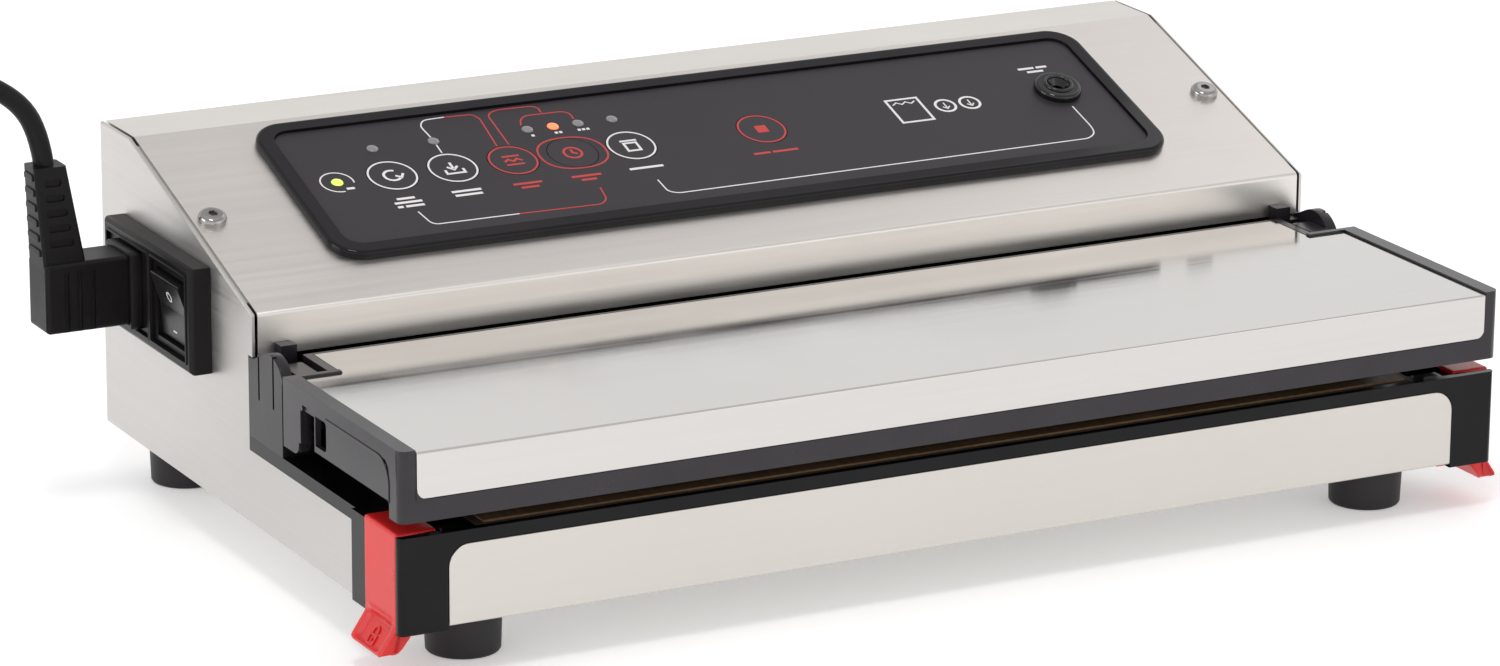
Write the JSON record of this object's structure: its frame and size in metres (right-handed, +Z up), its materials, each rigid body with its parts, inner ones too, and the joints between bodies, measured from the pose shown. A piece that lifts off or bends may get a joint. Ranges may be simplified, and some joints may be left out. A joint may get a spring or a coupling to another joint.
{
  "type": "vacuum sealer",
  "caption": "Bench-top vacuum sealer in brushed steel with a hinged lid over a seal bar, side latches and a sloping control panel.",
  "frame": {"origin": "centre of the body's outline on the table, under its feet", "axes": "+X to the right along the lid, +Y to the back, +Z up"},
  "size_m": [0.617, 0.2887, 0.1556],
  "materials": {
    "steel_panel": "brushed",
    "steel_cover": "brushed",
    "steel_facing": "brushed",
    "steel_lid": "fine brushed",
    "screw_bright": "polished",
    "screw_zinc": "zinc plated",
    "frame_black": "semi-gloss moulded",
    "lid_black": "semi-gloss moulded",
    "bracket_black": "semi-gloss moulded",
    "bar_laminate": "laminate",
    "nichrome": "drawn",
    "ptfe_tape": "woven glass tape",
    "gasket_rubber": "foam rubber",
    "silicone_grey": "silicone",
    "pin_steel": "ground",
    "catch_steel": "bent strip",
    "spring_steel": "spring wire",
    "latch_red": "satin moulded",
    "foot_rubber": "moulded",
    "bezel_gloss": "glossy",
    "overlay_film": "satin film",
    "key_film": "satin film",
    "light_green": "lit",
    "light_orange": "lit",
    "light_clear": "unlit",
    "board_green": "solder resist",
    "switch_black": "moulded",
    "port_black": "moulded",
    "inlet_black": "moulded",
    "rocker_black": "moulded",
    "blade_brass": "plated",
    "motor_steel": "drawn can",
    "pump_cast": "cast",
    "valve_black": "moulded",
    "hose_silicone": "silicone",
    "transformer_iron": "varnished",
    "cord_black": "PVC"
  },
  "bodies": {
    "base": {"chassis": "steel_panel", "top_cover": "steel_cover", "cover_screws": "screw_bright", "rear_screws": "screw_bright", "base_frame": "frame_black", "front_facing": "steel_facing", "seal_bar": "bar_laminate", "heating_wire": "nichrome", "seal_tape": "ptfe_tape", "lower_gasket": "gasket_rubber", "hinge_bracket_right": "bracket_black", "hinge_bracket_left": "bracket_black", "hinge_pin_right": "pin_steel", "hinge_pin_left": "pin_steel", "latch_pins": "pin_steel", "feet": "foot_rubber", "foot_screws": "screw_zinc", "control_bezel": "bezel_gloss", "panel_overlay": "overlay_film", "power_light": "light_green", "seal_time_light": "light_orange", "status_lights": "light_clear", "control_board": "board_green", "key_switches": "switch_black", "board_screws": "screw_zinc", "hose_port": "port_black", "inlet_frame": "inlet_black", "rocker_housing": "inlet_black", "inlet_socket": "inlet_black", "inlet_blades": "blade_brass", "pump_motor": "motor_steel", "pump_heads": "pump_cast", "pump_bracket": "screw_zinc", "pump_mounts": "foot_rubber", "vacuum_valve": "valve_black", "vacuum_hoses": "hose_silicone", "power_board": "board_green", "transformer": "transformer_iron", "cord_connector": "cord_black", "power_cord": "cord_black", "cord_coil": "cord_black", "mains_plug": "cord_black"},
    "lid": {"lid_frame": "lid_black", "lid_facing": "steel_lid", "lid_gasket": "gasket_rubber", "pressing_strip": "silicone_grey", "lid_catches": "catch_steel", "catch_screws": "screw_bright"},
    "latch_right_body": {"latch_right": "latch_red", "latch_spring_right": "spring_steel"},
    "latch_left_body": {"latch_left": "latch_red", "latch_spring_left": "spring_steel"},
    "rocker_body": {"power_rocker": "rocker_black"},
    "rotor_body": {"pump_rotor": "pin_steel"},
    "key_automatic_body": {"key_automatic": "key_film"},
    "key_vacuum_body": {"key_vacuum": "key_film"},
    "key_seal_body": {"key_seal": "key_film"},
    "key_seal_time_body": {"key_seal_time": "key_film"},
    "key_canister_body": {"key_canister": "key_film"},
    "key_stop_body": {"key_stop": "key_film"}
  },
  "joints": [
    {"name": "lid_hinge", "type": "hinge", "parent": "base", "child": "lid", "pos_m": [0, -0.0185, 0.0663], "axis": [-1, 0, 0], "range_deg": [-2.2, 75], "deforming": ["lower_gasket", "lid_gasket", "pressing_strip"]},
    {"name": "latch_right_pivot", "type": "hinge", "parent": "base", "child": "latch_right_body", "pos_m": [0.189, -0.106, 0.03], "axis": [0, 1, 0], "range_deg": [-4, 8], "stiffness_Nm_per_rad": 0.12},
    {"name": "latch_left_pivot", "type": "hinge", "parent": "base", "child": "latch_left_body", "pos_m": [-0.189, -0.106, 0.03], "axis": [0, -1, 0], "range_deg": [-4, 8], "stiffness_Nm_per_rad": 0.12},
    {"name": "rocker_pivot", "type": "hinge", "parent": "base", "child": "rocker_body", "pos_m": [-0.1984, 0.046, 0.0764], "axis": [0, 1, 0], "range_deg": [0, 22]},
    {"name": "pump_spin", "type": "hinge", "parent": "base", "child": "rotor_body", "pos_m": [0.04, 0.062, 0.052], "axis": [1, 0, 0], "continuous": true},
    {"name": "key_automatic_press", "type": "slide", "parent": "base", "child": "key_automatic_body", "axis": [0, 0.3205, -0.9473], "range_m": [0, 0.0005], "stiffness_N_per_m": 2000},
    {"name": "key_vacuum_press", "type": "slide", "parent": "base", "child": "key_vacuum_body", "axis": [0, 0.3205, -0.9473], "range_m": [0, 0.0005], "stiffness_N_per_m": 2000},
    {"name": "key_seal_press", "type": "slide", "parent": "base", "child": "key_seal_body", "axis": [0, 0.3205, -0.9473], "range_m": [0, 0.0005], "stiffness_N_per_m": 2000},
    {"name": "key_seal_time_press", "type": "slide", "parent": "base", "child": "key_seal_time_body", "axis": [0, 0.3205, -0.9473], "range_m": [0, 0.0005], "stiffness_N_per_m": 2000},
    {"name": "key_canister_press", "type": "slide", "parent": "base", "child": "key_canister_body", "axis": [0, 0.3205, -0.9473], "range_m": [0, 0.0005], "stiffness_N_per_m": 2000},
    {"name": "key_stop_press", "type": "slide", "parent": "base", "child": "key_stop_body", "axis": [0, 0.3205, -0.9473], "range_m": [0, 0.0005], "stiffness_N_per_m": 2000}
  ]
}
